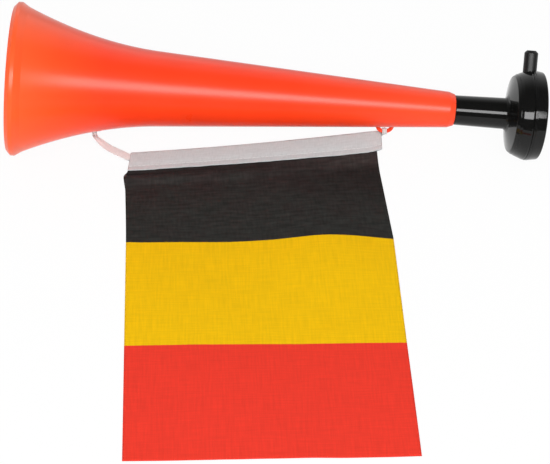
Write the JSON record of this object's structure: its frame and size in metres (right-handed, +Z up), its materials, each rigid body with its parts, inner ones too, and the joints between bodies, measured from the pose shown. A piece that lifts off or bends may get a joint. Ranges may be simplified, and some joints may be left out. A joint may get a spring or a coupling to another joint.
{
  "type": "stadium horn",
  "caption": "Conical plastic stadium horn with a diaphragm mouthpiece and side blow pipe, and a small striped cloth flag tied on by a ribbon through lugs under the bell.",
  "frame": {"origin": "centre of the base of the bounding box, on the table", "axes": "+X along the horn from its mouth to its cap, +Y away from the flag, +Z up from the table"},
  "size_m": [0.3688, 0.333, 0.1025],
  "materials": {
    "orange_plastic": "soft gloss, moulded",
    "black_plastic": "glossy, moulded",
    "clear_film": "thin clear film",
    "white_tape": "woven tape",
    "printed_cloth": "thin woven cloth printed with black, yellow and red bands"
  },
  "bodies": {
    "horn": {"bell": "orange_plastic"},
    "mouthpiece": {"mouthpiece": "black_plastic", "blow_pipe": "black_plastic", "diaphragm": "clear_film"},
    "cap": {"cap": "black_plastic"},
    "flag": {"tie_ribbon": "white_tape", "hoist_sleeve": "white_tape", "hoist_thread": "white_tape", "flag_cloth": "printed_cloth"}
  },
  "joints": [
    {"name": "mouthpiece_turn", "type": "hinge", "parent": "horn", "child": "mouthpiece", "pos_m": [0.12288, 0.11528, 0.03395], "axis": [0.9983, 0, -0.0575], "continuous": true},
    {"name": "cap_pull", "type": "slide", "parent": "mouthpiece", "child": "cap", "axis": [0.9983, 0, -0.0575], "range_m": [0, 0.012]},
    {"name": "flag_swing", "type": "hinge", "parent": "horn", "child": "flag", "pos_m": [0.07652, 0.11229, 0.01527], "axis": [0.9998, 0.0106, 0.0182], "range_deg": [-40, 95]}
  ]
}
